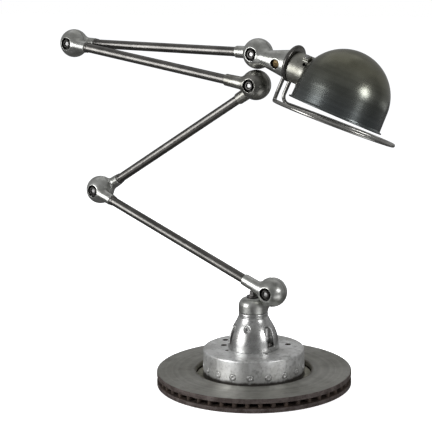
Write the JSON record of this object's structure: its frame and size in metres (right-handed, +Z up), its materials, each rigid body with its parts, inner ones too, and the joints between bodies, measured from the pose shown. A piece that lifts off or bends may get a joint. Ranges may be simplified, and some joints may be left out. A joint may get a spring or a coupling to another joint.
{
  "type": "articulated lamp",
  "caption": "Articulated workshop lamp: tube arms zigzag between split ball joints from a swivelling foot on a vented brake disc up to a domed reflector with a rod guard",
  "frame": {"origin": "on the table, under the middle of the lamp's overall box at rest", "axes": "+Z up, parallel to the disc axis; the arms lie in the XZ plane at rest; +X points toward the lit end; -Y is the front"},
  "size_m": [0.6763, 0.334, 0.5973],
  "materials": {
    "cast_iron": "machined grey faces with rusty vents",
    "hat_casting": "sand cast, lightly grimy",
    "aluminium": "worn polished casting",
    "arm_tube": "dark burnished",
    "fastener_steel": "dull",
    "rubber": "matte",
    "insulator": "moulded",
    "contact_metal": "bare",
    "brass": "tarnished",
    "guard_rod": "dark bare rod",
    "shade_sheet": "burnished gunmetal",
    "bulb_glass": "frosted"
  },
  "bodies": {
    "base": {"friction_ring": "cast_iron", "disc_hat": "hat_casting", "hat_pins": "fastener_steel", "cable_grommet": "rubber", "foot": "aluminium", "foot_bolts": "fastener_steel", "set_screw": "fastener_steel", "swivel_bolt": "fastener_steel", "swivel_nut": "fastener_steel"},
    "swivel": {"swivel_dome": "aluminium", "contact_disc_1": "insulator", "contact_rings_1": "contact_metal", "pivot_bolt_1": "fastener_steel", "pivot_nut_1": "fastener_steel"},
    "arm_1": {"brush_disc_1": "insulator", "arm_1_lower": "aluminium", "arm_1_tube": "arm_tube", "arm_1_upper": "aluminium", "contact_disc_2": "insulator", "contact_rings_2": "contact_metal", "pivot_bolt_2": "fastener_steel", "pivot_nut_2": "fastener_steel"},
    "arm_2": {"brush_disc_2": "insulator", "arm_2_lower": "aluminium", "arm_2_tube": "arm_tube", "arm_2_upper": "aluminium", "contact_disc_3": "insulator", "contact_rings_3": "contact_metal", "pivot_bolt_3": "fastener_steel", "pivot_nut_3": "fastener_steel"},
    "arm_3": {"brush_disc_3": "insulator", "arm_3_lower": "aluminium", "arm_3_tube": "arm_tube", "arm_3_upper": "aluminium", "contact_disc_4": "insulator", "contact_rings_4": "contact_metal", "pivot_bolt_4": "fastener_steel", "pivot_nut_4": "fastener_steel"},
    "arm_4": {"brush_disc_4": "insulator", "arm_4_lower": "aluminium", "arm_4_tube": "arm_tube", "arm_4_upper": "aluminium", "contact_disc_5": "insulator", "contact_rings_5": "contact_metal", "pivot_bolt_5": "fastener_steel", "pivot_nut_5": "fastener_steel"},
    "head": {"brush_disc_5": "insulator", "head_bracket": "aluminium", "retaining_screw": "brass"},
    "reflector": {"guard": "guard_rod", "holder_cover": "aluminium", "clamp_screws": "fastener_steel", "lampholder": "insulator", "holder_shell": "brass", "clamp_ring": "insulator", "shade": "shade_sheet", "bulb_cap": "brass", "bulb_glass": "bulb_glass"}
  },
  "joints": [
    {"name": "swivel_turn", "type": "hinge", "parent": "base", "child": "swivel", "pos_m": [0.073, 0, 0.1245], "axis": [0, 0, 1], "range_deg": [-170, 170]},
    {"name": "arm_1_tilt", "type": "hinge", "parent": "swivel", "child": "arm_1", "pos_m": [0.112, 0, 0.164], "axis": [0, -1, 0], "range_deg": [-70, 4]},
    {"name": "arm_2_tilt", "type": "hinge", "parent": "arm_1", "child": "arm_2", "pos_m": [-0.26143, 0, 0.30735], "axis": [0, -1, 0], "range_deg": [-10, 60]},
    {"name": "arm_3_tilt", "type": "hinge", "parent": "arm_2", "child": "arm_3", "pos_m": [0.08251, 0, 0.51156], "axis": [0, -1, 0], "range_deg": [-90, 20]},
    {"name": "arm_4_tilt", "type": "hinge", "parent": "arm_3", "child": "arm_4", "pos_m": [-0.31289, 0, 0.57207], "axis": [0, -1, 0], "range_deg": [0, 90]},
    {"name": "head_tilt", "type": "hinge", "parent": "arm_4", "child": "head", "pos_m": [0.08701, 0, 0.56297], "axis": [0, -1, 0], "range_deg": [-18, 120]},
    {"name": "reflector_turn", "type": "hinge", "parent": "head", "child": "reflector", "pos_m": [0.08826, 0, 0.56677], "axis": [0.95, 0, -0.3123], "range_deg": [-90, 90]}
  ]
}
